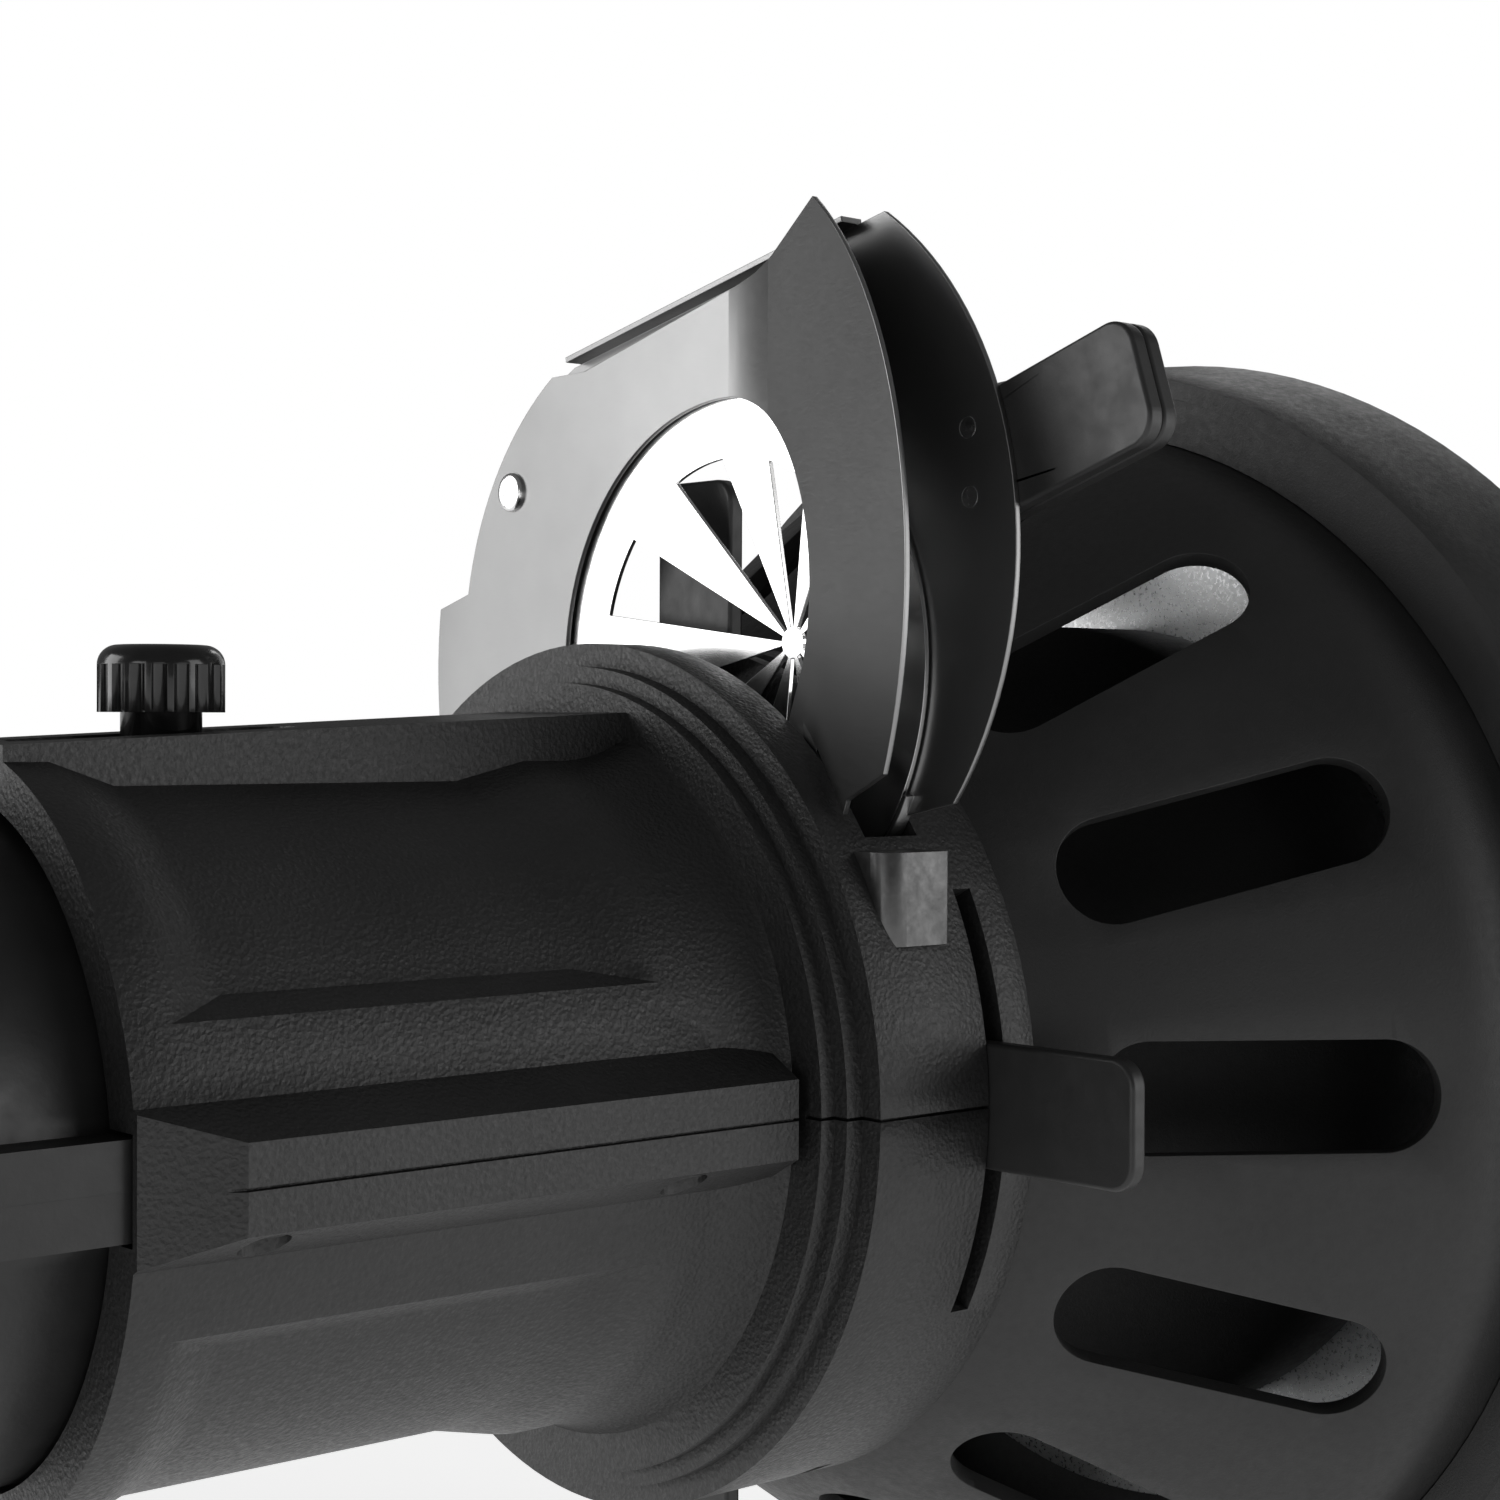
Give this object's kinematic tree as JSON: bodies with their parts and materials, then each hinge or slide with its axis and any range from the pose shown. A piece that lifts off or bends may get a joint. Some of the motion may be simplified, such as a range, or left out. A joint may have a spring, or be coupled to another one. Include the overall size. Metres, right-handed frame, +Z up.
{
  "type": "spot projection attachment",
  "caption": "Light-shaping attachment for a studio flash: vented cone, framing shutters, lift-out pattern holder and focusing lens tube.",
  "frame": {"origin": "on the optical axis, in the rear face of the mounting ring that seats on the lamp", "axes": "+X along the optical axis towards the lamp, light leaves towards -X, +Z up, thumbscrew side up"},
  "size_m": [0.25, 0.16, 0.1664],
  "materials": {
    "shell_plastic": "fine leather grain, black",
    "tube_plastic": "smooth satin black",
    "cone_coat": "fine black powder coat",
    "ring_coat": "black powder coat with a worn bright front edge",
    "plate_coat": "black paint",
    "bare_steel": "machined steel",
    "black_screw": "black oxide",
    "handle_plastic": "satin black",
    "blade_steel": "rolled spring steel",
    "holder_steel": "satin grey sheet",
    "rivet_steel": "bright rivet heads",
    "pattern_steel": "polished sheet",
    "optic_glass": "coated glass",
    "knob_plastic": "glossy black",
    "stop_metal": "dark anodised"
  },
  "bodies": {
    "housing": {"upper_shell": "shell_plastic", "lower_shell": "shell_plastic", "shell_screws": "black_screw", "slot_stop_block": "stop_metal", "vent_cone": "cone_coat", "cone_screws": "black_screw", "mount_ring": "ring_coat", "rear_plate": "plate_coat", "ring_screws": "black_screw", "bayonet_ring": "bare_steel", "bayonet_screws": "bare_steel", "condenser_cell": "plate_coat", "condenser_lens": "optic_glass", "condenser_ring": "plate_coat"},
    "shutter_frame": {"front_guide_plate": "blade_steel", "rear_guide_plate": "blade_steel", "guide_spacers": "bare_steel"},
    "pattern_holder": {"gobo_back_plate": "holder_steel", "gobo_spring_plate": "holder_steel", "gobo_rivets": "rivet_steel", "gobo_grip_front": "handle_plastic", "gobo_grip_back": "handle_plastic", "grip_rivets": "rivet_steel"},
    "pattern_disc": {"gobo_disc": "pattern_steel"},
    "lens_tube": {"tube_upper_shell": "tube_plastic", "tube_lower_shell": "tube_plastic", "tube_screws": "black_screw", "front_lens": "optic_glass", "rear_lens": "optic_glass", "tube_baffle": "plate_coat", "front_trim_ring": "plate_coat", "clamp_nut": "bare_steel"},
    "thumbscrew": {"thumbscrew_shank": "bare_steel", "thumbscrew_knob": "knob_plastic"},
    "top_shutter": {"top_shutter_blade": "blade_steel", "top_shutter_handle": "handle_plastic"},
    "near_shutter": {"near_shutter_blade": "blade_steel", "near_shutter_handle": "handle_plastic"},
    "bottom_shutter": {"bottom_shutter_blade": "blade_steel", "bottom_shutter_handle": "handle_plastic"},
    "far_shutter": {"far_shutter_blade": "blade_steel", "far_shutter_handle": "handle_plastic"}
  },
  "joints": [
    {"name": "lens_focus", "type": "slide", "parent": "housing", "child": "lens_tube", "axis": [1, 0, 0], "range_m": [-0.012, 0.008]},
    {"name": "thumbscrew_turn", "type": "hinge", "parent": "lens_tube", "child": "thumbscrew", "pos_m": [-0.1366, 0, 0.0367], "axis": [0, 0, 1], "range_deg": [0, 360]},
    {"name": "shutter_frame_turn", "type": "hinge", "parent": "housing", "child": "shutter_frame", "pos_m": [-0.073, 0, 0], "axis": [1, 0, 0], "range_deg": [-18, 18]},
    {"name": "top_shutter_slide", "type": "slide", "parent": "shutter_frame", "child": "top_shutter", "axis": [0, 0, -1], "range_m": [0, 0.016]},
    {"name": "near_shutter_slide", "type": "slide", "parent": "shutter_frame", "child": "near_shutter", "axis": [0, 1, 0], "range_m": [0, 0.016]},
    {"name": "bottom_shutter_slide", "type": "slide", "parent": "shutter_frame", "child": "bottom_shutter", "axis": [0, 0, 1], "range_m": [0, 0.016]},
    {"name": "far_shutter_slide", "type": "slide", "parent": "shutter_frame", "child": "far_shutter", "axis": [0, -1, 0], "range_m": [0, 0.016]},
    {"name": "pattern_holder_lift", "type": "slide", "parent": "housing", "child": "pattern_holder", "axis": [0, 0.2028, 0.9792], "range_m": [0, 0.05]},
    {"name": "pattern_turn", "type": "hinge", "parent": "pattern_holder", "child": "pattern_disc", "pos_m": [-0.0773, -0.01056, 0.0418], "axis": [1, 0, 0], "continuous": true}
  ]
}
